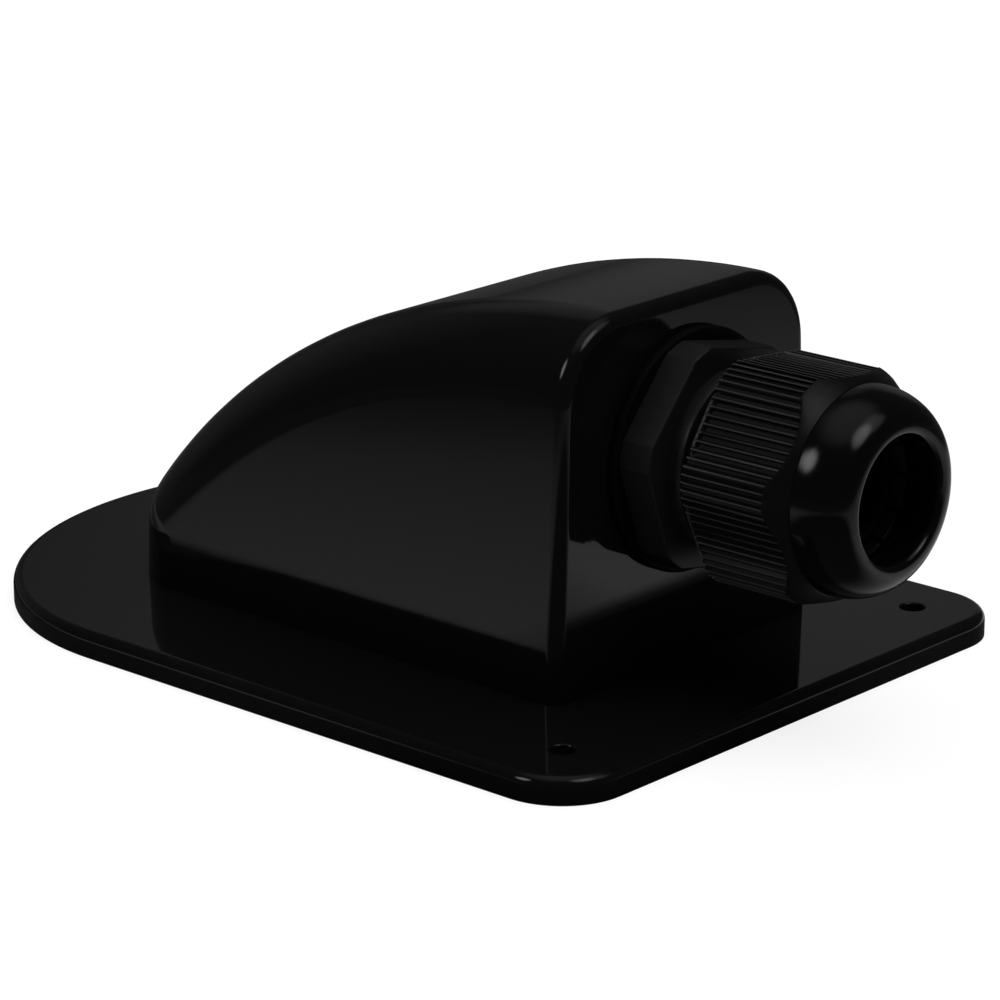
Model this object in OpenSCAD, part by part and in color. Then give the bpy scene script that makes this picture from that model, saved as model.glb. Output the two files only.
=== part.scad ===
// Roof cable entry box: a moulded housing on a bonding flange, with one screwed cable gland.
// The origin lies midway between the two screw holes, on the bonding face. +X runs along the
// cable, out of the gland, and +Z points away from the roof. All sizes are millimetres.

/* [Flange] */
// Width across the straight sides
flange_w = 76.4; // [70:0.2:90]
// Length from the straight front edge to the end of the rounded rear
flange_l = 105.5; // [100:0.5:125]
// Thickness
flange_t = 3; // [2:0.1:5]
// Radius of the two front corners
flange_corner_r = 7.8; // [4:0.1:12]
// Length of the half ellipse that rounds the rear end
flange_tail = 34.8; // [25:0.2:45]
// Radius of the rounded upper edge
flange_edge_r = 1.2; // [0.4:0.1:1.8]

/* [Screw holes] */
// Distance between the two holes
screw_spacing = 60; // [56:0.5:64]
// Diameter of a hole
screw_d = 2.8; // [2:0.1:5]
// Distance from the front edge to the holes
screw_inset = 8; // [5:0.5:11]

/* [Housing] */
// Distance from the front edge of the flange to the front wall
front_setback = 16.4; // [13:0.2:20]
// Length of the hump, from the front wall to its rear end
hump_l = 67.5; // [60:0.5:75]
// Width of the hump where it meets the bonding face
hump_w = 43.6; // [40:0.2:52]
// Height of the crest above the bonding face
hump_h = 44; // [43:0.5:52]
// Radius of the shoulders and of the rear corners
shoulder_r = 9.3; // [7:0.1:10.5]
// Inward lean of the side walls, in degrees
side_draft = 2.5; // [0:0.25:3]
// Distance that the ellipse along the back of the hump runs on past its rear end
profile_over = 0.5; // [0:0.5:10]
// Half height of that ellipse
profile_h = 58; // [45:0.5:62]
// Radius of the edges round the front wall
front_edge_r = 1.5; // [0.5:0.1:2.5]
// Thickness of the hump's shell
wall_t = 2.5; // [1.5:0.1:3.5]
// Thickness of the front wall, which carries the gland
front_wall_t = 3; // [2:0.1:4]

/* [Gland body] */
// Distance from the crest of the hump down to the gland's axis
gland_drop = 17.2; // [17:0.1:19]
// Outside diameter of the stem and of the upper thread
thread_d = 19.8; // [19:0.1:20.2]
// Hexagon, across flats
hex_af = 24; // [23:0.5:27]
// Diameter to which the hexagon's corners are turned
hex_turned_d = 26.2; // [25:0.1:27]
// Length of the hexagon
hex_l = 4.2; // [3:0.2:7]
// Turn of the hexagon about the gland's axis, in degrees
hex_turn = 11; // [0:1:59]
// Diameter of the collar in front of the hexagon
collar_d = 20.6; // [20.4:0.1:22]
// Length of the collar
collar_l = 2; // [1:0.1:3]
// Length of the upper thread
neck_l = 10.2; // [9:0.2:14]
// Bore through the body
body_bore_d = 14; // [12.5:0.1:14.5]
// Depth of the seat for the claw, from the front end of the body
claw_seat_l = 9.5; // [8:0.1:11]
// Wall round the claw's seat
claw_seat_wall = 1.2; // [0.9:0.1:1.5]
// Length of stem that stands past the locknut
stem_tail = 2; // [0.5:0.1:4]

/* [Washer and locknut] */
// Diameter of the sealing washer
washer_d = 27; // [25.8:0.1:29]
// Thickness of the sealing washer
washer_t = 1.2; // [0.8:0.1:2.5]
// Locknut, across flats
locknut_af = 26; // [24:0.5:27]
// Diameter to which the locknut's corners are turned
locknut_turned_d = 28.6; // [27.5:0.1:30]
// Thickness of the locknut
locknut_t = 5; // [3:0.2:7]

/* [Claw and seal] */
// Wall of the clamping claw
claw_wall = 1.1; // [0.8:0.1:1.3]
// Wall left at the tips of the claw's fingers
claw_tip = 0.45; // [0.3:0.05:0.7]
// Number of fingers
claw_count = 12; // [8:1:16]
// Width of the slots between the fingers
claw_slot = 0.7; // [0.4:0.1:1.2]
// Length of the closed ring behind the fingers
claw_ring_l = 3.5; // [2:0.1:6]
// Travel left between the claw and the bottom of its seat
claw_travel = 2; // [1.8:0.1:3]
// Bore of the rubber seal
seal_bore_d = 12; // [8:0.1:12.6]
// Distance of the seal's ends inside the ends of the claw
seal_inset = 1.2; // [0.4:0.1:3]

/* [Dome nut] */
// Ribbed grip, across flats
nut_af = 24; // [23.6:0.2:27]
// Diameter to which the grip's corners are turned
nut_turned_d = 26.2; // [25.4:0.1:28]
// Length of the grip on the flats
grip_l = 12.3; // [11:0.1:16]
// Turn of the grip about the gland's axis, in degrees
nut_turn = 5; // [0:1:59]
// Flutes in each sixth of the grip
flute_count = 14; // [8:1:16]
// Depth of the flutes
flute_depth = 0.45; // [0.2:0.05:0.7]
// Length of the plain ring at the rear end
rear_ring_l = 0.6; // [0.3:0.1:1.5]
// Angle of the cone that ends the grip, from the gland's axis, in degrees
grip_cone = 38; // [28:1:50]
// Diameter of the ring where the dome starts
dome_d = 22.8; // [22:0.1:23]
// Length of the dome in front of that ring
dome_l = 5.9; // [4:0.1:7]
// Diameter of the mouth
mouth_d = 13.7; // [13:0.1:14.4]
// Radius of the mouth's lip
lip_r = 0.8; // [0.3:0.1:1.1]
// Distance from the collar to the nut as fitted, before a cable is clamped
nut_gap = 2.1; // [1.8:0.1:4]
// Space between the front end of the body and the cone in the nut
cone_room = 2; // [1.8:0.1:3]

/* [Clearances] */
// Radial gap between the threads of the nut and the body
thread_gap = 0.3; // [0.2:0.05:0.5]
// Gap round the claw, in its seat and under the nut's cone
claw_gap = 0.3; // [0.2:0.05:0.5]
// Gap between pieces that are fitted once and stay
fit_gap = 0.15; // [0.05:0.05:0.3]

/* [Hidden] */

abs_black = [0.06, 0.06, 0.065];
nylon_black = [0.10, 0.10, 0.105];
rubber_black = [0.07, 0.07, 0.07];

slice = 0.01;      // thickness of a slice that a blend runs through
overrun = 1;       // how far a cut runs past the face that it opens
edge_steps = 5;    // slices round a small edge
path_steps = 20;   // stations along the back of the hump
blend_fn = 48;     // sides of the round shapes that a blend runs through
arc_step = 5;      // degrees between points of an arc
lip_step = 15;     // degrees between points round the lip
flute_points = 4;  // points of the outline on each flute

// Plan of the flange and the hump
front_edge_x = screw_inset;
tail_x = front_edge_x - flange_l + flange_tail;
front_x = front_edge_x - front_setback;
rear_x = front_x - hump_l;
crest_x = front_x - front_edge_r;
profile_l = hump_l + profile_over;

// Height of the gland's axis above the bonding face
gland_z = hump_h - gland_drop;

// Stations along the gland's axis, counted from the outer face of the front wall
hex_s = washer_t;
collar_s = hex_s + hex_l;
neck_s = collar_s + collar_l;
body_end_s = neck_s + neck_l;
claw_seat_s = body_end_s - claw_seat_l;
stem_l = front_wall_t + locknut_t + stem_tail;
nut_s = neck_s + nut_gap;
shoulder_s = nut_s + grip_l;
cone_s = body_end_s + cone_room;

// Radii about the gland's axis
thread_r = thread_d / 2;
nut_bore_r = thread_r + thread_gap;
claw_seat_r = thread_r - claw_seat_wall;
claw_r = claw_seat_r - claw_gap;
claw_bore_r = claw_r - claw_wall;
seal_r = claw_bore_r - fit_gap;
mouth_r = mouth_d / 2;
dome_r = dome_d / 2;
grip_r = nut_af / 2;
corner_r = nut_turned_d / 2;
rear_ring_r = grip_r - flute_depth / 4;
cone_foot_r = corner_r + overrun;
dome_ring_s = shoulder_s + (grip_r - dome_r) / tan(grip_cone);
nose_s = dome_ring_s + dome_l;

// The nut closes on the claw along a cone of this half angle
cone_angle = 30;
cone_slope = tan(cone_angle);
function cone_at(r) = cone_s + (nut_bore_r - r) / cone_slope;
claw_cone_gap = claw_gap / cos(cone_angle);
claw_s = claw_seat_s + claw_travel;
claw_taper_s = cone_at(claw_r + claw_cone_gap);
claw_end_s = cone_at(claw_bore_r + claw_tip + claw_cone_gap);

// Outline of the flange, drawn in from its edge by the given amount
function flange_outline(inset) =
    let (half_w = flange_w / 2 - inset, r = flange_corner_r - inset,
         corner_x = front_edge_x - flange_corner_r, corner_y = flange_w / 2 - flange_corner_r)
    concat(
        [for (a = [0 : arc_step : 90]) [corner_x + r * cos(a), corner_y + r * sin(a)]],
        [for (a = [90 : arc_step / 2 : 270]) [tail_x + (flange_tail - inset) * cos(a), half_w * sin(a)]],
        [for (a = [270 : arc_step : 360]) [corner_x + r * cos(a), -corner_y + r * sin(a)]]);

// Height of the shoulder's centre line, which stops where the ball reaches the bonding face
function shoulder_z(x) =
    let (drop = profile_h * (1 - sqrt(1 - pow(min(0, x - crest_x) / profile_l, 2))))
    max(shoulder_r, hump_h - shoulder_r - drop);

// Half distance between the centre lines of the two shoulders at a height
function shoulder_y(z) = hump_w / 2 - z * tan(side_draft) - shoulder_r / cos(side_draft);

// Outline of the ribbed grip: equal flutes along each flat, carried round the turned corners
function grip_outline() =
    let (half_flat = grip_r * tan(30), n = flute_count * flute_points)
    [for (side = [0 : 5], i = [0 : n - 1])
        let (v = [grip_r, half_flat * (2 * i / n - 1)],
             r = min(norm(v), corner_r) - flute_depth * abs(sin(180 * i / flute_points)),
             turn = 60 * side + atan2(v.y, v.x))
        r * [cos(turn), sin(turn)]];

// Quarter ellipse from the dome's ring to its nose, then round the lip into the mouth
function dome_curve() =
    let (nose_r = mouth_r + lip_r)
    concat(
        [for (a = [0 : arc_step : 90])
            [nose_r + (dome_r - nose_r) * cos(a), dome_ring_s + dome_l * sin(a)]],
        [for (a = [90 + lip_step : lip_step : 180])
            [nose_r + lip_r * cos(a), nose_s - lip_r + lip_r * sin(a)]]);

module on_gland_axis() translate([front_x, 0, gland_z]) rotate([0, 90, 0]) children();

module ring(r, bore_r, s, l)
    translate([0, 0, s]) difference() {
        cylinder(r = r, h = l);
        translate([0, 0, -overrun]) cylinder(r = bore_r, h = l + 2 * overrun);
    }

module hexagon(af, turned_d, s, l)
    translate([0, 0, s]) intersection() {
        cylinder(d = af / cos(30), h = l, $fn = 6);
        cylinder(d = turned_d, h = l);
    }

module disc(x, y, z, r) translate([x, y, z]) rotate([0, -90, 0]) cylinder(r = r, h = slice);

// Solid hump, drawn in from its surface by the given amount, with its front face at front
module hump(inset, front, edge_r, foot_z) {
    r = shoulder_r - inset;
    first_x = rear_x + shoulder_r;
    last_x = front_x - shoulder_r;
    hull() for (side = [-1, 1]) {
        for (i = [0 : path_steps]) {
            x = first_x + (last_x - first_x) * i / path_steps;
            z = shoulder_z(x);
            translate([x, side * shoulder_y(z), z]) sphere(r = r, $fn = blend_fn);
        }
        for (i = [0 : edge_steps]) {
            a = 90 * i / edge_steps;
            x = front - edge_r * (1 - sin(a));
            z = shoulder_z(x);
            disc(x, side * shoulder_y(z), z, r - edge_r * (1 - cos(a)), $fn = blend_fn);
        }
        translate([first_x, side * (hump_w / 2 - shoulder_r), foot_z])
            cylinder(r = r, h = slice, $fn = blend_fn);
        translate([front - edge_r, side * (hump_w / 2 - inset - edge_r), foot_z])
            cylinder(r = edge_r, h = slice, $fn = blend_fn);
    }
}

module flange()
    hull() for (i = [0 : edge_steps]) {
        a = 90 * i / edge_steps;
        top = flange_t - flange_edge_r * (1 - sin(a));
        linear_extrude(top) polygon(flange_outline(flange_edge_r * (1 - cos(a))));
    }

module housing() color(abs_black) difference() {
    union() {
        flange();
        hump(0, front_x, front_edge_r, 0);
    }
    hump(wall_t, front_x - front_wall_t, front_edge_r, -overrun);
    on_gland_axis() translate([0, 0, -front_wall_t - overrun])
        cylinder(r = thread_r + fit_gap, h = front_wall_t + 2 * overrun);
    for (side = [-1, 1]) translate([0, side * screw_spacing / 2, -overrun])
        cylinder(d = screw_d, h = flange_t + 2 * overrun);
}

module gland_body() color(nylon_black) on_gland_axis() difference() {
    union() {
        translate([0, 0, -stem_l]) cylinder(r = thread_r, h = stem_l + hex_s + hex_l);
        rotate([0, 0, hex_turn]) hexagon(hex_af, hex_turned_d, hex_s, hex_l);
        translate([0, 0, collar_s]) cylinder(d = collar_d, h = collar_l);
        translate([0, 0, neck_s]) cylinder(r = thread_r, h = neck_l);
    }
    translate([0, 0, -stem_l - overrun]) cylinder(d = body_bore_d, h = stem_l + body_end_s + 2 * overrun);
    translate([0, 0, claw_seat_s]) cylinder(r = claw_seat_r, h = claw_seat_l + overrun);
}

module sealing_washer() color(rubber_black) on_gland_axis()
    ring(washer_d / 2, thread_r + fit_gap, 0, washer_t);

module locknut() color(nylon_black) on_gland_axis() difference() {
    hexagon(locknut_af, locknut_turned_d, -front_wall_t - locknut_t, locknut_t);
    translate([0, 0, -front_wall_t - locknut_t - overrun])
        cylinder(r = thread_r + fit_gap, h = locknut_t + 2 * overrun);
}

module clamping_claw() color(nylon_black) on_gland_axis() difference() {
    rotate_extrude() polygon([
        [claw_bore_r, claw_s], [claw_r, claw_s], [claw_r, claw_taper_s],
        [claw_bore_r + claw_tip, claw_end_s], [claw_bore_r, claw_end_s]]);
    for (i = [0 : claw_count - 1]) rotate([0, 0, 360 * i / claw_count])
        translate([0, -claw_slot / 2, claw_s + claw_ring_l]) cube([claw_r + overrun, claw_slot, claw_end_s]);
}

module seal_bush() color(rubber_black) on_gland_axis()
    ring(seal_r, seal_bore_d / 2, claw_s + seal_inset, claw_end_s - claw_s - 2 * seal_inset);

module dome_nut() color(nylon_black) on_gland_axis() difference() {
    union() {
        intersection() {
            translate([0, 0, nut_s]) rotate([0, 0, nut_turn])
                linear_extrude(nose_s - nut_s) polygon(grip_outline());
            rotate_extrude() polygon([
                [0, nut_s - overrun], [cone_foot_r, nut_s - overrun],
                [cone_foot_r, dome_ring_s - (cone_foot_r - dome_r) / tan(grip_cone)],
                [dome_r, dome_ring_s], [0, dome_ring_s]]);
        }
        translate([0, 0, nut_s]) cylinder(r = rear_ring_r, h = rear_ring_l);
        rotate_extrude() polygon(concat(
            [[0, dome_ring_s - slice], [dome_r, dome_ring_s - slice]], dome_curve(), [[0, nose_s - lip_r]]));
    }
    rotate_extrude() polygon([
        [0, nut_s - overrun], [nut_bore_r, nut_s - overrun], [nut_bore_r, cone_s],
        [mouth_r, cone_at(mouth_r)], [mouth_r, nose_s + overrun], [0, nose_s + overrun]]);
}

housing();
gland_body();
sealing_washer();
locknut();
clamping_claw();
seal_bush();
dome_nut();
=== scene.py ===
import math

import bmesh
import bpy
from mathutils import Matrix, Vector


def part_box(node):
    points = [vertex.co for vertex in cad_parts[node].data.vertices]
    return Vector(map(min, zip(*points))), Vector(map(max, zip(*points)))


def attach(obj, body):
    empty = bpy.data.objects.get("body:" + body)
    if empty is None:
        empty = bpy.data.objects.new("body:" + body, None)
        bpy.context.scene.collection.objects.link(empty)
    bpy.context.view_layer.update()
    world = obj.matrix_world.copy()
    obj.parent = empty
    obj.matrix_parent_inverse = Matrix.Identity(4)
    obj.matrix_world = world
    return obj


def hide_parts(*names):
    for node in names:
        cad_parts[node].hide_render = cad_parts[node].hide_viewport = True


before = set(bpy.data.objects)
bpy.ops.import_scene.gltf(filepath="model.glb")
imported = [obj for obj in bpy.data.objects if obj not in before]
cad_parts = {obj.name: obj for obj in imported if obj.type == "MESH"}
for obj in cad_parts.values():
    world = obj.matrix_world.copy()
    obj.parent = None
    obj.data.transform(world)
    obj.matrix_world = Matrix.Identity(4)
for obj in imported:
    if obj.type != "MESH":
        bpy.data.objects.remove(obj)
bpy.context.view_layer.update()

# Sizes are written in millimetres and leave for Blender in metres
MM = 0.001
NEAR = 0.02 * MM

# Flange
flange_t = 3 * MM
flange_corner_r = 7.8 * MM
flange_tail = 34.8 * MM
flange_edge_r = 1.2 * MM
screw_spacing = 60 * MM
screw_d = 2.8 * MM
screw_rim_r = 0.25 * MM
corner_steps = 16
tail_steps = 120

# Hump of the housing
hump_l = 67.5 * MM
hump_w = 43.6 * MM
shoulder_r = 9.3 * MM
side_draft = math.radians(2.5)
profile_over = 0.5 * MM
profile_h = 58 * MM
front_edge_r = 1.5 * MM
wall_t = 2.5 * MM
front_wall_t = 3 * MM
back_steps = 56
foot_steps = 10
shoulder_steps = 16

# Gland: stations count from the front wall along the cable, radii from the gland's axis
thread_r = 9.9 * MM
thread_root_r = 9.25 * MM
thread_pitch = 1.5 * MM
thread_chamfer = 0.7 * MM
thread_steps = 72
bore_r = 7 * MM
claw_seat_r = 8.7 * MM
claw_seat_s = 8.1 * MM
stem_end_s = -10 * MM
hex_s = 1.2 * MM
hex_r = 12 * MM
hex_corner_r = 13.1 * MM
hex_turn = math.radians(11)
hex_edge_r = 0.3 * MM
collar_s = 5.4 * MM
collar_r = 10.3 * MM
collar_waist = 0.35 * MM
lip_s = 6.6 * MM
neck_s = 7.4 * MM
body_end_s = 17.6 * MM
washer_r = 13.5 * MM
locknut_s = -8 * MM
locknut_r = 13 * MM
locknut_corner_r = 14.3 * MM
locknut_entry = 0.6 * MM
fit_gap = 0.15 * MM

# Claw and seal
claw_s = 10.1 * MM
claw_ring_l = 3.5 * MM
claw_r = 8.4 * MM
claw_bore_r = 7.3 * MM
claw_tip = 0.45 * MM
claw_slot = 0.7 * MM
claw_count = 12
seal_bore_r = 6 * MM
seal_inset = 1.2 * MM

# Dome nut
nut_s = 9.5 * MM
grip_r = 12 * MM
grip_corner_r = 13.1 * MM
nut_turn = math.radians(5)
flute_count = 14
flute_depth = 0.45 * MM
flute_steps = 10
crest_half = 0.05
flute_flank = 0.2
rear_ring_l = 0.6 * MM
rear_ring_r = 12.2 * MM
nut_edge = 0.15 * MM
grip_cone = math.tan(math.radians(38))
dome_s = 22.568 * MM
dome_r = 11.4 * MM
dome_l = 5.9 * MM
mouth_r = 6.85 * MM
lip_r = 0.8 * MM
nut_bore_r = 10.2 * MM
nut_entry = 0.5 * MM
cone_s = 19.6 * MM
cone_slope = math.tan(math.radians(30))

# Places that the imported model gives
housing_low, housing_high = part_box("housing")
washer_low, washer_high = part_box("sealing_washer")
claw_end_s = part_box("clamping_claw")[1].x - washer_low.x
gland_z = (washer_low.z + washer_high.z) / 2
front_x = washer_low.x
front_edge_x = housing_high.x
half_w = housing_high.y
tail_x = housing_low.x + flange_tail
rear_x = front_x - hump_l
crest_x = front_x - front_edge_r
profile_l = hump_l + profile_over
crest_z = housing_high.z

# Turns of a drill
upright = (0, 0, 0)
along_cable = (0, math.pi / 2, 0)


def deselect_all():
    bpy.ops.object.select_all(action="DESELECT")


def make_active(piece):
    deselect_all()
    piece.select_set(True)
    bpy.context.view_layer.objects.active = piece


def start_edit(piece):
    make_active(piece)
    bpy.ops.object.mode_set(mode="EDIT")


def end_edit():
    bpy.ops.object.mode_set(mode="OBJECT")


def new_piece(name):
    """Names the primitive that was just added."""
    piece = bpy.context.object
    piece.name = piece.data.name = name
    return piece


def outline(name, points, fill="NGON"):
    """A flat outline: a circle with one corner for each point, pulled out to the points."""
    deselect_all()
    bpy.ops.mesh.primitive_circle_add(vertices=len(points), radius=MM, fill_type=fill)
    piece = new_piece(name)
    for corner, point in zip(piece.data.vertices, points):
        corner.co = point
    return piece


def point_outwards():
    bpy.ops.mesh.select_all(action="SELECT")
    bpy.ops.mesh.normals_make_consistent(inside=False)


def extrude(piece, step):
    start_edit(piece)
    bpy.ops.mesh.select_all(action="SELECT")
    bpy.ops.mesh.extrude_region_move(TRANSFORM_OT_translate={"value": step})
    point_outwards()
    end_edit()


def select_corners(piece, test):
    bpy.ops.mesh.select_mode(type="VERT")
    bpy.ops.mesh.select_all(action="DESELECT")
    mesh = bmesh.from_edit_mesh(piece.data)
    for corner in mesh.verts:
        corner.select_set(test(corner.co))
    mesh.select_flush(True)
    bmesh.update_edit_mesh(piece.data)


def select_edges(piece, test):
    bpy.ops.mesh.select_mode(type="EDGE")
    bpy.ops.mesh.select_all(action="DESELECT")
    mesh = bmesh.from_edit_mesh(piece.data)
    for edge in mesh.edges:
        edge.select_set(test(edge.verts[0].co, edge.verts[1].co))
    bmesh.update_edit_mesh(piece.data)


def round_edges(piece, radius, segments, test):
    start_edit(piece)
    select_edges(piece, test)
    bpy.ops.mesh.bevel(offset=radius, offset_type="OFFSET", segments=segments, affect="EDGES")
    end_edit()


def combine(piece, tool, operation):
    """Adds the tool's solid to the piece, cuts it away, or keeps only what both share."""
    step = piece.modifiers.new(operation.lower(), "BOOLEAN")
    step.operation = operation
    step.solver = "EXACT"
    step.object = tool
    make_active(piece)
    bpy.ops.object.modifier_apply(modifier=step.name)
    bpy.data.objects.remove(tool)


def smooth(piece, angle):
    """Smooth shading up to the angle, with flat faces kept flat up to their rounded edges."""
    make_active(piece)
    bpy.ops.object.shade_smooth_by_angle(angle=math.radians(angle))
    weighted = piece.modifiers.new("weighted", "WEIGHTED_NORMAL")
    weighted.keep_sharp = True
    bpy.ops.object.modifier_apply(modifier=weighted.name)


def arc(centre, radius, start, end, steps):
    """Points of an arc in plan, in degrees, as (x, y)."""
    turns = [math.radians(start + (end - start) * i / steps) for i in range(steps + 1)]
    return [(centre[0] + radius[0] * math.cos(a), centre[1] + radius[1] * math.sin(a)) for a in turns]


def fill(piece, test):
    """Joins the corners that pass: two by an edge, more by a face."""
    select_corners(piece, test)
    bpy.ops.mesh.edge_face_add()


def drill(name, radius, depth, place, turn):
    deselect_all()
    bpy.ops.mesh.primitive_cylinder_add(
        vertices=96, radius=radius, depth=depth, location=place, rotation=turn)
    return new_piece(name)


def join_seams():
    bpy.ops.mesh.select_all(action="SELECT")
    bpy.ops.mesh.remove_doubles(threshold=NEAR / 10)
    point_outwards()


def hand_over(piece, node, body):
    """Puts the piece in the place of a CAD node, on its body."""
    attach(piece, body)
    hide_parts(node)
    return piece


# The housing: a bonding flange and a hollow hump, moulded in one
def flange_solid():
    corner_x = front_edge_x - flange_corner_r
    corner_y = half_w - flange_corner_r
    corner = (flange_corner_r, flange_corner_r)
    plan = arc((corner_x, corner_y), corner, 0, 90, corner_steps)
    plan += arc((tail_x, 0), (flange_tail, half_w), 90, 270, tail_steps)
    plan += arc((corner_x, -corner_y), corner, 270, 360, corner_steps)
    flange = outline("housing", [(x, y, 0) for x, y in plan])
    extrude(flange, (0, 0, flange_t))
    round_edges(flange, flange_edge_r, 8, lambda a, b: min(a.z, b.z) > flange_t - NEAR)
    return flange


def shoulder_y(z):
    """Half distance between the centre lines of the two shoulders."""
    return hump_w / 2 - z * math.tan(side_draft) - shoulder_r / math.cos(side_draft)


def hump_stations(front, foot):
    """Centre (x, z) and backward lean of the ball that rolls the shoulders, from the front to the foot."""
    top_z = crest_z - shoulder_r
    last_x = rear_x + shoulder_r
    start = math.asin(max(0, crest_x - front) / profile_l)
    end = math.asin((crest_x - last_x) / profile_l)
    along = [start + (end - start) * i / back_steps for i in range(back_steps + 1)]
    lean = [math.atan2(profile_h * math.sin(t), profile_l * math.cos(t)) for t in along]
    path = [(crest_x - profile_l * math.sin(t), top_z - profile_h * (1 - math.cos(t)), a)
            for t, a in zip(along, lean)]
    path[0] = (front, path[0][1], 0)
    path += [(last_x, path[-1][1], lean[-1] + (math.pi / 2 - lean[-1]) * i / foot_steps)
             for i in range(1, foot_steps + 1)]
    return path + [(last_x, foot, math.pi / 2)]


def hump_solid(name, ball_r, front, foot):
    """A grid laid over both shoulders and the back, closed by the walls and the foot."""
    stations = hump_stations(front, foot)
    shares = [i / shoulder_steps for i in range(shoulder_steps + 1)]
    rolls = [(-1, share) for share in reversed(shares)] + [(1, share) for share in shares]
    columns, rows = len(stations) - 1, len(rolls) - 1
    deselect_all()
    bpy.ops.mesh.primitive_grid_add(x_subdivisions=columns, y_subdivisions=rows, size=2)
    hump = new_piece(name)
    for corner in hump.data.vertices:
        x, z, lean = stations[round((corner.co.x + 1) / 2 * columns)]
        side, share = rolls[round((corner.co.y + 1) / 2 * rows)]
        outward = Vector((-math.sin(lean), 0, math.cos(lean)))
        off_wall = Vector((0, side * math.cos(side_draft), math.sin(side_draft)))
        sideways = (off_wall - outward * off_wall.dot(outward)).normalized()
        roll = share * outward.angle(off_wall)
        reach = ball_r * (outward * math.cos(roll) + sideways * math.sin(roll))
        if z == foot:
            z -= reach.z
        corner.co = Vector((x, side * shoulder_y(z), z)) + reach

    wall_y = lambda z: shoulder_y(z) + ball_r / math.cos(side_draft)
    top_z = stations[0][1] + ball_r * math.sin(side_draft)
    drop = Vector((0, (top_z - foot) * math.tan(side_draft), foot - top_z))
    start_edit(hump)
    join_seams()
    for side in (-1, 1):
        select_corners(hump, lambda p: p.x > front - NEAR and p.y * side > wall_y(top_z) - NEAR)
        step = Vector((0, drop.y * side, drop.z))
        bpy.ops.mesh.extrude_vertices_move(TRANSFORM_OT_translate={"value": step})
    low = lambda p: p.z < foot + NEAR
    fore = lambda p: p.x > front - NEAR
    on_wall = lambda p, side: abs(p.y * side - wall_y(p.z)) < NEAR
    fill(hump, lambda p: low(p) and fore(p))
    for side in (-1, 1):
        fill(hump, lambda p: low(p) and on_wall(p, side))
        fill(hump, lambda p: on_wall(p, side))
    fill(hump, fore)
    fill(hump, low)
    point_outwards()
    end_edit()
    round_edges(hump, front_edge_r, 6, lambda a, b: fore(a) and fore(b) and max(a.z, b.z) > foot + NEAR)
    return hump


def housing():
    shell = flange_solid()
    combine(shell, hump_solid("hump", shoulder_r, front_x, flange_t / 2), "UNION")
    hollow = hump_solid("hollow", shoulder_r - wall_t, front_x - front_wall_t, -flange_t)
    combine(shell, hollow, "DIFFERENCE")
    for side in (-1, 1):
        hole = drill("screw_hole", screw_d / 2, 4 * flange_t, (0, side * screw_spacing / 2, 0), upright)
        combine(shell, hole, "DIFFERENCE")
    hole = drill("gland_hole", thread_r + fit_gap, 4 * front_wall_t, (front_x, 0, gland_z), along_cable)
    combine(shell, hole, "DIFFERENCE")
    from_screw = lambda p: math.hypot(p.x, abs(p.y) - screw_spacing / 2)
    on_rim = lambda p: p.z > flange_t - NEAR and from_screw(p) < screw_d / 2 + NEAR
    round_edges(shell, screw_rim_r, 3, lambda a, b: on_rim(a) and on_rim(b))
    smooth(shell, 35)
    return hand_over(shell, "housing", "housing")


# The gland's pieces, all about one axis
def on_axis(s, r):
    return (front_x + s, 0, gland_z + r)


def rounded(corners, steps=4):
    """A closed outline of (a, b, fillet) corners, each one with a fillet turned into an arc."""
    points = []
    for i, (a, b, fillet) in enumerate(corners):
        here = Vector((a, b))
        if not fillet:
            points.append(here)
            continue
        back = (Vector(corners[i - 1][:2]) - here).normalized()
        on = (Vector(corners[(i + 1) % len(corners)][:2]) - here).normalized()
        half = back.angle(on) / 2
        middle = here + (back + on).normalized() * fillet / math.sin(half)
        start = here + back * fillet / math.tan(half) - middle
        end = here + on * fillet / math.tan(half) - middle
        points += [middle + fillet * start.slerp(end, k / steps) for k in range(steps + 1)]
    return points


def lathe(name, corners, steps=128):
    """A closed profile of (station, radius, fillet) corners, spun about the gland's axis."""
    piece = outline(name, [on_axis(s, r) for s, r in rounded(corners)], "NOTHING")
    start_edit(piece)
    bpy.ops.mesh.select_all(action="SELECT")
    bpy.ops.mesh.spin(steps=steps, angle=2 * math.pi, center=on_axis(0, 0), axis=(1, 0, 0))
    join_seams()
    end_edit()
    return piece


def threaded_rod(name, start, end):
    """One pitch of the thread's profile, screwed along the axis and capped."""
    profile = [(0, thread_root_r), (0.12, thread_root_r), (0.42, thread_r), (0.58, thread_r),
               (0.88, thread_root_r), (1, thread_root_r)]
    deselect_all()
    bpy.ops.mesh.primitive_circle_add(
        vertices=len(profile), radius=MM, fill_type="NOTHING",
        location=on_axis(start - 1.5 * thread_pitch, 0))
    rod = new_piece(name)
    for corner, (along, r) in zip(rod.data.vertices, profile):
        corner.co = (along * thread_pitch, 0, r)
    start_edit(rod)
    select_edges(rod, lambda a, b: abs(a.x - b.x) > 0.9 * thread_pitch)
    bpy.ops.mesh.delete(type="EDGE_FACE")
    end_edit()
    turns = rod.modifiers.new("turns", "SCREW")
    turns.axis = "X"
    turns.screw_offset = thread_pitch
    turns.iterations = math.ceil((end - start) / thread_pitch) + 2
    turns.steps = turns.render_steps = thread_steps
    bpy.ops.object.modifier_apply(modifier=turns.name)
    bpy.ops.object.transform_apply(location=True)
    start_edit(rod)
    join_seams()
    bpy.ops.mesh.fill_holes(sides=0)
    point_outwards()
    end_edit()
    return rod


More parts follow.
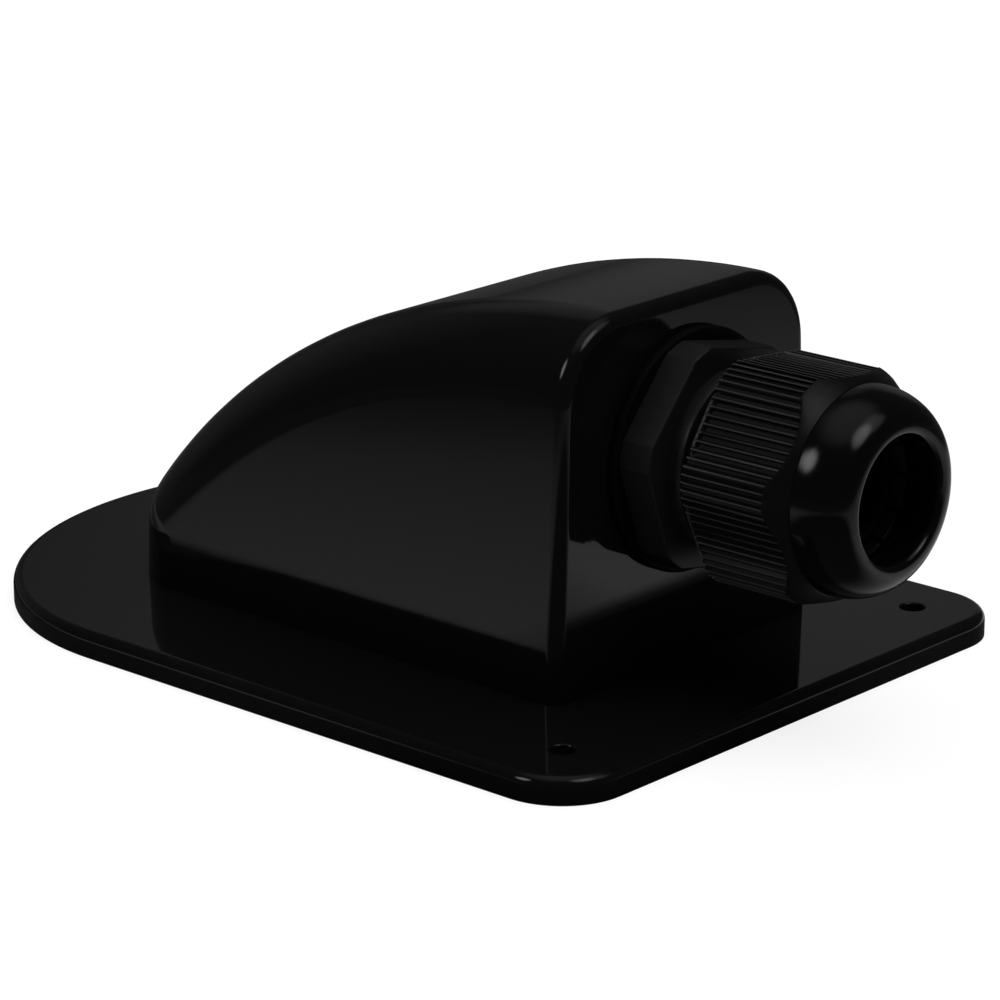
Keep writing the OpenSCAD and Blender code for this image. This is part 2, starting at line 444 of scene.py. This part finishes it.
def hexagon(name, flat_r, corner_r, turn, start, length):
    """A hexagon with turned corners and softly broken edges."""
    half_flat = math.acos(flat_r / corner_r)
    plan = []
    for side in range(6):
        middle = turn + math.radians(60 * side)
        turned = math.radians(60) - 2 * half_flat
        plan += [middle + half_flat + turned * k / 4 for k in range(5)]
    piece = outline(name, [
        (front_x + start, corner_r * math.sin(a), gland_z + corner_r * math.cos(a)) for a in plan])
    extrude(piece, (length, 0, 0))
    level = lambda a, b: abs(a.x - b.x) < NEAR
    round_edges(piece, hex_edge_r, 3, level)
    return piece


def gland_body():
    body = threaded_rod("gland_body", stem_end_s, body_end_s)
    tall = thread_r + NEAR
    chamfered = tall - thread_chamfer
    sleeve = lathe("sleeve", [
        (stem_end_s, bore_r, 0), (stem_end_s, chamfered, 0), (stem_end_s + thread_chamfer, tall, 0),
        (body_end_s - thread_chamfer, tall, 0), (body_end_s, chamfered, 0), (body_end_s, claw_seat_r, 0),
        (claw_seat_s, claw_seat_r, 0), (claw_seat_s, bore_r, 0)])
    combine(body, sleeve, "INTERSECT")
    head = hexagon("hexagon", hex_r, hex_corner_r, hex_turn, hex_s, collar_s - hex_s)
    way = drill("way", claw_seat_r - fit_gap, 40 * MM, on_axis(0, 0), along_cable)
    combine(head, way, "DIFFERENCE")
    combine(body, head, "UNION")
    waist_r = collar_r - collar_waist
    collar = lathe("collar", [
        (collar_s - fit_gap, claw_seat_r, 0), (collar_s - fit_gap, waist_r, 0), (lip_s, waist_r, 0),
        (lip_s, collar_r, 0.12 * MM), (neck_s, collar_r, 0.2 * MM), (neck_s, claw_seat_r, 0)])
    combine(body, collar, "UNION")
    smooth(body, 20)
    return hand_over(body, "gland_body", "housing")


def sealing_washer():
    washer = lathe("sealing_washer", [
        (0, thread_r + fit_gap, 0.1 * MM), (0, washer_r, 0.35 * MM), (hex_s, washer_r, 0.35 * MM),
        (hex_s, thread_r + fit_gap, 0.1 * MM)])
    smooth(washer, 40)
    return hand_over(washer, "sealing_washer", "housing")


def locknut():
    length = -front_wall_t - locknut_s
    nut = hexagon("locknut", locknut_r, locknut_corner_r, 0, locknut_s, length)
    hole_r = thread_r + fit_gap
    wide_r = hole_r + locknut_entry + length
    way = lathe("way", [
        (locknut_s - length, MM, 0), (locknut_s - length, wide_r, 0), (locknut_s + locknut_entry, hole_r, 0),
        (-front_wall_t - locknut_entry, hole_r, 0), (-front_wall_t + length, wide_r, 0),
        (-front_wall_t + length, MM, 0)])
    combine(nut, way, "DIFFERENCE")
    smooth(nut, 30)
    return hand_over(nut, "locknut", "housing")


def clamping_claw():
    tip_r = claw_bore_r + claw_tip
    taper = (claw_r - tip_r) / cone_slope
    claw = lathe("clamping_claw", [
        (claw_s, claw_bore_r, 0.15 * MM), (claw_s, claw_r, 0.25 * MM), (claw_end_s - taper, claw_r, 0.3 * MM),
        (claw_end_s, tip_r, 0.15 * MM), (claw_end_s, claw_bore_r, 0.1 * MM)], 96)
    length = claw_end_s - claw_s - claw_ring_l
    slot_x = front_x + claw_s + claw_ring_l + length
    for i in range(claw_count):
        a = 2 * math.pi * i / claw_count
        deselect_all()
        bpy.ops.mesh.primitive_cube_add(
            size=1, scale=(2 * length, claw_slot, claw_r), rotation=(a, 0, 0),
            location=(slot_x, -claw_r * math.sin(a), gland_z + claw_r * math.cos(a)))
        combine(claw, new_piece("slot"), "DIFFERENCE")
    smooth(claw, 30)
    return hand_over(claw, "clamping_claw", "clamp")


def seal_bush():
    seal_r = claw_bore_r - fit_gap
    seal = lathe("seal_bush", [
        (claw_s + seal_inset, seal_bore_r, 0.4 * MM), (claw_s + seal_inset, seal_r, 0.2 * MM),
        (claw_end_s - seal_inset, seal_r, 0.2 * MM), (claw_end_s - seal_inset, seal_bore_r, 0.4 * MM)])
    smooth(seal, 40)
    return hand_over(seal, "seal_bush", "clamp")


def plain_grip(turn):
    """Radius of the grip's hexagon, with its turned corners, at a turn from the middle of a flat."""
    return min(grip_r / math.cos(turn), grip_corner_r)


def from_flat(turn):
    """The turn from the middle of the nearest flat."""
    sixth = math.radians(60)
    return (turn - nut_turn + sixth / 2) % sixth - sixth / 2


def flute(turn):
    """Share of the flutes' depth: none on the narrow crests, all over the wide floors."""
    phase = flute_count * (1 + math.tan(turn) / math.tan(math.radians(30))) / 2
    off_crest = abs((phase + 0.5) % 1 - 0.5)
    rise = min(max((off_crest - crest_half) / flute_flank, 0), 1)
    return rise * rise * (3 - 2 * rise)


def grip_turns():
    """Turns of the nut's corners, the same number in each flute."""
    steps = flute_count * flute_steps
    flat = [math.atan(math.tan(math.radians(30)) * (2 * i / steps - 1)) for i in range(steps)]
    return [nut_turn + math.radians(60 * side) + a for side in range(6) for a in flat]


def nut_rings():
    """Rings of the nut, from its rear end over the grip and the dome and back through the bore.

    Each one gives the station and the radius at a turn from the middle of a flat.
    """
    edge = nut_edge
    fluted = lambda t, share: plain_grip(t) - share * flute_depth * flute(t)
    with_ring = lambda t: max(fluted(t, 1), min(plain_grip(t), rear_ring_r))
    flute_end = lambda t: dome_s - (plain_grip(t) - dome_r) / grip_cone
    plain = lambda s, r: (lambda t: (s, r))
    rings = [
        lambda t: (nut_s, with_ring(t) - 1.5 * edge),
        lambda t: (nut_s + 0.3 * edge, with_ring(t) - 0.5 * edge),
        lambda t: (nut_s + edge, with_ring(t)),
        lambda t: (nut_s + rear_ring_l - edge, with_ring(t)),
        lambda t: (nut_s + rear_ring_l, with_ring(t) * 0.5 + fluted(t, 1) * 0.5),
        lambda t: (nut_s + rear_ring_l + edge, fluted(t, 1))]
    # The flutes run out just before the cone
    for back, share in ((0.45, 1), (0.3, 0.92), (0.2, 0.65), (0.12, 0.3), (0.06, 0)):
        rings.append(lambda t, back=back, share=share: (flute_end(t) - back * MM, fluted(t, share)))
    rings += [
        lambda t: (flute_end(t) + 0.02 * MM, plain_grip(t) - 0.04 * MM),
        lambda t: (flute_end(t) + 0.12 * MM, plain_grip(t) - 0.12 * MM * grip_cone),
        lambda t: ((flute_end(t) + dome_s) / 2, (plain_grip(t) + dome_r) / 2)]
    # A hairline groove at the dome's foot, the dome, and its lip
    groove = 0.12 * MM
    rings += [plain(dome_s - 0.05 * MM, dome_r + 0.05 * MM * grip_cone), plain(dome_s, dome_r - 0.02 * MM),
              plain(dome_s + 0.06 * MM, dome_r - groove), plain(dome_s + 0.14 * MM, dome_r - groove),
              plain(dome_s + 0.2 * MM, dome_r - 0.02 * MM)]
    nose_s, nose_r = dome_s + dome_l, mouth_r + lip_r
    for k in range(2, 21):
        a = math.radians(4.5 * k)
        rings.append(plain(dome_s + dome_l * math.sin(a), nose_r + (dome_r - nose_r) * math.cos(a)))
    for k in range(1, 7):
        a = math.radians(90 + 15 * k)
        rings.append(plain(nose_s - lip_r + lip_r * math.sin(a), nose_r + lip_r * math.cos(a)))
    mouth_end = cone_s + (nut_bore_r - mouth_r) / cone_slope
    rings += [plain(mouth_end, mouth_r), plain(cone_s, nut_bore_r), plain(nut_s + nut_entry, nut_bore_r),
              plain(nut_s, nut_bore_r + nut_entry)]
    return rings


def dome_nut():
    """The rear end's outline, extruded ring by ring, then joined to itself."""
    rings = nut_rings()

    def place(turn, ring):
        s, r = ring(from_flat(turn))
        return Vector((front_x + s, r * math.sin(turn), gland_z + r * math.cos(turn)))

    nut = outline("dome_nut", [place(turn, rings[0]) for turn in grip_turns()], "NOTHING")
    start_edit(nut)
    bpy.ops.mesh.select_mode(type="EDGE")
    bpy.ops.mesh.select_all(action="SELECT")
    for ring in rings[1:]:
        bpy.ops.mesh.extrude_edges_move()
        mesh = bmesh.from_edit_mesh(nut.data)
        for corner in mesh.verts:
            if corner.select:
                corner.co = place(math.atan2(corner.co.y, corner.co.z - gland_z), ring)
        bmesh.update_edit_mesh(nut.data)
    bpy.ops.mesh.select_non_manifold(extend=True)
    bpy.ops.mesh.bridge_edge_loops()
    point_outwards()
    end_edit()
    smooth(nut, 30)
    return hand_over(nut, "dome_nut", "dome_nut")


# Materials
def colour(code):
    """sRGB hex to linear."""
    parts = [int(code[i:i + 2], 16) / 255 for i in (0, 2, 4)]
    return [c / 12.92 if c <= 0.04045 else ((c + 0.055) / 1.055) ** 2.4 for c in parts] + [1]


def new_material(name):
    material = bpy.data.materials.new(name)
    material.use_nodes = True
    material.node_tree.nodes.clear()
    return material


def add_node(tree, kind, sockets=None, **settings):
    """Adds a node; each socket gets a value, or a link from another node's output."""
    made = tree.nodes.new(kind)
    for name, value in settings.items():
        setattr(made, name, value)
    for name, value in (sockets or {}).items():
        if isinstance(value, bpy.types.NodeSocket):
            tree.links.new(value, made.inputs[name])
        else:
            made.inputs[name].default_value = value
    return made


def per_mm(size):
    """Scale of a texture whose features are this many millimetres across."""
    return 1 / (size * MM)


# Injection-moulded gloss ABS: near black, mirror-like, with the faint waviness of a polished mould
def gloss_abs():
    material = new_material("moulded_gloss_abs")
    tree = material.node_tree
    place = add_node(tree, "ShaderNodeTexCoord").outputs["Object"]
    wave = add_node(tree, "ShaderNodeTexNoise", {
        "Vector": place, "Scale": per_mm(16), "Detail": 1}).outputs["Fac"]
    peel = add_node(tree, "ShaderNodeTexNoise", {
        "Vector": place, "Scale": per_mm(1.2), "Detail": 3}).outputs["Fac"]
    haze = add_node(tree, "ShaderNodeMapRange", {"Value": peel, "To Min": 0.04, "To Max": 0.08})
    swell = add_node(tree, "ShaderNodeBump", {"Height": wave, "Strength": 0.15, "Distance": 0.08 * MM})
    skin = add_node(tree, "ShaderNodeBump", {
        "Height": peel, "Strength": 0.1, "Distance": 0.01 * MM, "Normal": swell.outputs["Normal"]})
    shader = add_node(tree, "ShaderNodeBsdfPrincipled", {
        "Base Color": colour("0b0b0b"), "Roughness": haze.outputs["Result"], "Specular IOR Level": 0.3,
        "Normal": skin.outputs["Normal"]})
    add_node(tree, "ShaderNodeOutputMaterial", {"Surface": shader.outputs["BSDF"]})
    return material


# Moulded nylon: black and satin, with a fine even grain that is drawn coarser than it is, so that it shows
def satin_nylon():
    material = new_material("moulded_satin_nylon")
    tree = material.node_tree
    place = add_node(tree, "ShaderNodeTexCoord").outputs["Object"]
    grain = add_node(tree, "ShaderNodeTexNoise", {
        "Vector": place, "Scale": per_mm(0.35), "Detail": 3}).outputs["Fac"]
    haze = add_node(tree, "ShaderNodeMapRange", {"Value": grain, "To Min": 0.3, "To Max": 0.42})
    skin = add_node(tree, "ShaderNodeBump", {"Height": grain, "Strength": 0.16, "Distance": 0.02 * MM})
    shader = add_node(tree, "ShaderNodeBsdfPrincipled", {
        "Base Color": colour("161617"), "Roughness": haze.outputs["Result"], "Specular IOR Level": 0.2,
        "Normal": skin.outputs["Normal"]})
    add_node(tree, "ShaderNodeOutputMaterial", {"Surface": shader.outputs["BSDF"]})
    return material


# The dome nut's nylon: satin on the grip and polished on the dome. The flutes' crests carry a painted
# highlight, paler and shinier, and their floors a painted shade, darker and duller
def dome_nylon():
    material = new_material("moulded_nylon_with_polished_dome")
    tree = material.node_tree
    coordinates = add_node(tree, "ShaderNodeTexCoord")
    place = coordinates.outputs["Object"]
    along = add_node(tree, "ShaderNodeSeparateXYZ", {"Vector": place}).outputs["X"]
    dome_foot = front_x + dome_s
    polish = add_node(tree, "ShaderNodeMapRange", {
        "Value": along, "From Min": dome_foot - 0.1 * MM, "From Max": dome_foot + 0.1 * MM}).outputs["Result"]
    lean = add_node(tree, "ShaderNodeSeparateXYZ", {"Vector": coordinates.outputs["Normal"]}).outputs["X"]
    off_cone = add_node(tree, "ShaderNodeMapRange", {
        "Value": lean, "From Min": 0.1, "From Max": 0.3, "To Min": 1, "To Max": 0}).outputs["Result"]
    # Painted highlight on the flutes' crests, picked out by their pointiness, kept off the cone
    edges = add_node(tree, "ShaderNodeNewGeometry").outputs["Pointiness"]
    painted_crest_highlight = add_node(tree, "ShaderNodeMapRange", {
        "Value": edges, "From Min": 0.525, "From Max": 0.58, "To Max": off_cone}).outputs["Result"]
    # Painted highlight and shade: pale crests over dark flute floors
    grip = add_node(tree, "ShaderNodeMix", {
        0: painted_crest_highlight, 6: colour("0c0c0d"), 7: colour("383839")}, data_type="RGBA")
    tint = add_node(tree, "ShaderNodeMix", {
        0: polish, 6: grip.outputs[2], 7: colour("060606")}, data_type="RGBA")
    grain = add_node(tree, "ShaderNodeTexNoise", {
        "Vector": place, "Scale": per_mm(0.35), "Detail": 3}).outputs["Fac"]
    satin = add_node(tree, "ShaderNodeMapRange", {"Value": grain, "To Min": 0.26, "To Max": 0.36})
    gloss = add_node(tree, "ShaderNodeMapRange", {"Value": grain, "To Min": 0.09, "To Max": 0.14})
    haze = add_node(tree, "ShaderNodeMix", {
        0: polish, 2: satin.outputs["Result"], 3: gloss.outputs["Result"]})
    # Painted sheen: the crests reflect more and the flute floors less
    painted_crest_sheen = add_node(tree, "ShaderNodeMapRange", {"Value": painted_crest_highlight, "To Min": 0.16, "To Max": 0.6})
    shine = add_node(tree, "ShaderNodeMix", {0: polish, 2: painted_crest_sheen.outputs["Result"], 3: 0.35})
    rough = add_node(tree, "ShaderNodeMapRange", {"Value": polish, "To Min": 0.16, "To Max": 0.02})
    skin = add_node(tree, "ShaderNodeBump", {
        "Height": grain, "Strength": rough.outputs["Result"], "Distance": 0.02 * MM})
    shader = add_node(tree, "ShaderNodeBsdfPrincipled", {
        "Base Color": tint.outputs[2], "Roughness": haze.outputs[0], "Specular IOR Level": shine.outputs[0],
        "Normal": skin.outputs["Normal"]})
    add_node(tree, "ShaderNodeOutputMaterial", {"Surface": shader.outputs["BSDF"]})
    return material


# Moulded rubber: black and matt, with a grain that is drawn coarser than it is, so that it shows
def matt_rubber():
    material = new_material("moulded_matt_rubber")
    tree = material.node_tree
    place = add_node(tree, "ShaderNodeTexCoord").outputs["Object"]
    grain = add_node(tree, "ShaderNodeTexNoise", {
        "Vector": place, "Scale": per_mm(0.4), "Detail": 4}).outputs["Fac"]
    haze = add_node(tree, "ShaderNodeMapRange", {"Value": grain, "To Min": 0.6, "To Max": 0.8})
    skin = add_node(tree, "ShaderNodeBump", {"Height": grain, "Strength": 0.3, "Distance": 0.03 * MM})
    shader = add_node(tree, "ShaderNodeBsdfPrincipled", {
        "Base Color": colour("050505"), "Roughness": haze.outputs["Result"], "Specular IOR Level": 0.1,
        "Normal": skin.outputs["Normal"]})
    add_node(tree, "ShaderNodeOutputMaterial", {"Surface": shader.outputs["BSDF"]})
    return material


def coat(piece, material):
    piece.data.materials.clear()
    piece.data.materials.append(material)


# The stage: a pale floor with a soft shadow, white to the eye, and a pool of light in reflections
def fade(tree, place, x, y, reach, levels):
    """A level that runs from one value to another with the distance (in mm) from a spot on the floor."""
    away = add_node(tree, "ShaderNodeVectorMath", {0: place, 1: (x * MM, y * MM, 0)}, operation="DISTANCE")
    return add_node(tree, "ShaderNodeMapRange", {
        "Value": away.outputs["Value"], "From Min": reach[0] * MM, "From Max": reach[1] * MM,
        "To Min": levels[0], "To Max": levels[1]}).outputs["Result"]


def contact_shade(tree, place):
    """A level that is low close beside the flange."""
    middle, half = (housing_low + housing_high) / 2, (housing_high - housing_low) / 2
    off = place
    for operation, by in (("SUBTRACT", (middle.x, middle.y, 0)), ("ABSOLUTE", (0, 0, 0)),
                          ("SUBTRACT", (half.x, half.y, 0)), ("MAXIMUM", (0, 0, 0))):
        off = add_node(tree, "ShaderNodeVectorMath", {0: off, 1: by}, operation=operation).outputs[0]
    beside = add_node(tree, "ShaderNodeVectorMath", {0: off}, operation="LENGTH")
    return add_node(tree, "ShaderNodeMapRange", {
        "Value": beside.outputs["Value"], "From Min": 5.5 * MM, "From Max": 8.5 * MM,
        "To Min": 0.08}).outputs["Result"]


def stage():
    deselect_all()
    bpy.ops.mesh.primitive_plane_add(size=6, location=(0, 0, -NEAR))
    floor = new_piece("floor")
    material = new_material("pale_floor")
    tree = material.node_tree
    path = add_node(tree, "ShaderNodeLightPath")
    # A fifth of the paint is left to the eye, for the shadow
    eye = add_node(tree, "ShaderNodeMath", {0: path.outputs["Is Camera Ray"], 1: 0.8}, operation="MULTIPLY")
    paint = add_node(tree, "ShaderNodeBsdfDiffuse", {"Color": colour("f4f4f4")})
    white = add_node(tree, "ShaderNodeEmission", {"Color": colour("ffffff"), "Strength": 1.06})
    seen = add_node(tree, "ShaderNodeMixShader", {
        0: eye.outputs[0], 1: paint.outputs[0], 2: white.outputs[0]})
    place = add_node(tree, "ShaderNodeTexCoord").outputs["Object"]
    level = contact_shade(tree, place)
    for share in (fade(tree, place, 0, 5, (30, 200), (0.6, 0.11)),    # a pool of light round the box
                  fade(tree, place, 0, 5, (150, 190), (1, 0.4)),      # that ends
                  fade(tree, place, 45, -60, (60, 85), (0.06, 1)),    # dark in front of the gland
                  fade(tree, place, -110, 20, (45, 65), (0.12, 1))):  # and behind the rear foot
        level = add_node(tree, "ShaderNodeMath", {0: level, 1: share}, operation="MULTIPLY").outputs[0]
    sheet = add_node(tree, "ShaderNodeEmission", {"Color": colour("ffffff"), "Strength": level})
    mix = add_node(tree, "ShaderNodeMixShader", {
        0: path.outputs["Is Glossy Ray"], 1: seen.outputs[0], 2: sheet.outputs[0]})
    add_node(tree, "ShaderNodeOutputMaterial", {"Surface": mix.outputs[0]})
    coat(floor, material)


def direction(heading, elevation):
    """A unit vector from a heading and an elevation in degrees."""
    heading, elevation = math.radians(heading), math.radians(elevation)
    return Vector((math.cos(heading) * math.cos(elevation), math.sin(heading) * math.cos(elevation),
                   math.sin(elevation)))


def look_from(thing, target, away, distance):
    """Links a lamp or a camera at a distance from its target, turned towards it."""
    bpy.context.scene.collection.objects.link(thing)
    thing.location = target + away * distance
    thing.rotation_euler = (-away).to_track_quat("-Z", "Y").to_euler()


def glow(tree, way, level, towards, core, edge, gain):
    """Adds a soft round lamp to the surroundings: full inside the core's angle, nothing past the edge's."""
    near = add_node(tree, "ShaderNodeVectorMath", {0: way, 1: towards}, operation="DOT_PRODUCT")
    lamp = add_node(tree, "ShaderNodeMapRange", {
        "Value": near.outputs["Value"], "From Min": math.cos(math.radians(edge)),
        "From Max": math.cos(math.radians(core)), "To Max": gain}, interpolation_type="SMOOTHSTEP")
    return add_node(tree, "ShaderNodeMath", {0: level, 1: lamp.outputs["Result"]}, operation="ADD").outputs[0]


def studio():
    """A dark room with soft round lamps, and a fill from above that mirrors nowhere."""
    world = bpy.data.worlds.new("studio")
    world.use_nodes = True
    tree = world.node_tree
    tree.nodes.clear()
    way = add_node(tree, "ShaderNodeTexCoord").outputs["Generated"]
    level = 0.025
    for heading, elevation, core, edge, gain in (
            (-116, 35, 2, 14, 3.8),   # near left: the dome's first glint
            (-2, 56, 3, 18, 2.0),     # right: its second glint
            (28, 55, 3, 20, 0.6),     # and that one's tail
            (120, 13, 6, 20, 0.09),   # behind: the crest and the dome's upper edge
            (138, 32, 5, 18, 0.08),   # behind on the left: the shoulder
            (174, 17, 5, 28, 0.03),   # low on the left: the rear slope
            (0, 90, 10, 38, 0.3)):    # above
        level = glow(tree, way, level, direction(heading, elevation), core, edge, gain)
    back = add_node(tree, "ShaderNodeBackground", {"Color": colour("ffffff"), "Strength": level})
    add_node(tree, "ShaderNodeOutputWorld", {"Surface": back.outputs[0]})
    bpy.context.scene.world = world
    light = bpy.data.lights.new("above", "AREA")
    light.shape = "SQUARE"
    light.size = 0.8
    light.energy = 6
    lamp = bpy.data.objects.new("above", light)
    lamp.visible_glossy = False
    look_from(lamp, Vector(on_axis(0, 0)), direction(90, 82), 0.75)


def camera():
    """The photo's view, as fitted to it."""
    lens = bpy.data.cameras.new("photo_view")
    lens.sensor_width = 36
    lens.lens = 147.6
    lens.clip_start = 0.01
    view = bpy.data.objects.new("photo_view", lens)
    look_from(view, Vector((-27.4, -9.084, 19.04)) * MM, direction(-48.048, 17.581), 447.44 * MM)
    bpy.context.scene.camera = view


bpy.context.scene.view_settings.view_transform = "Standard"
camera()
stage()
studio()
coat(housing(), gloss_abs())
coat(dome_nut(), dome_nylon())
nylon, rubber = satin_nylon(), matt_rubber()
for piece in (gland_body(), locknut(), clamping_claw()):
    coat(piece, nylon)
for piece in (sealing_washer(), seal_bush()):
    coat(piece, rubber)
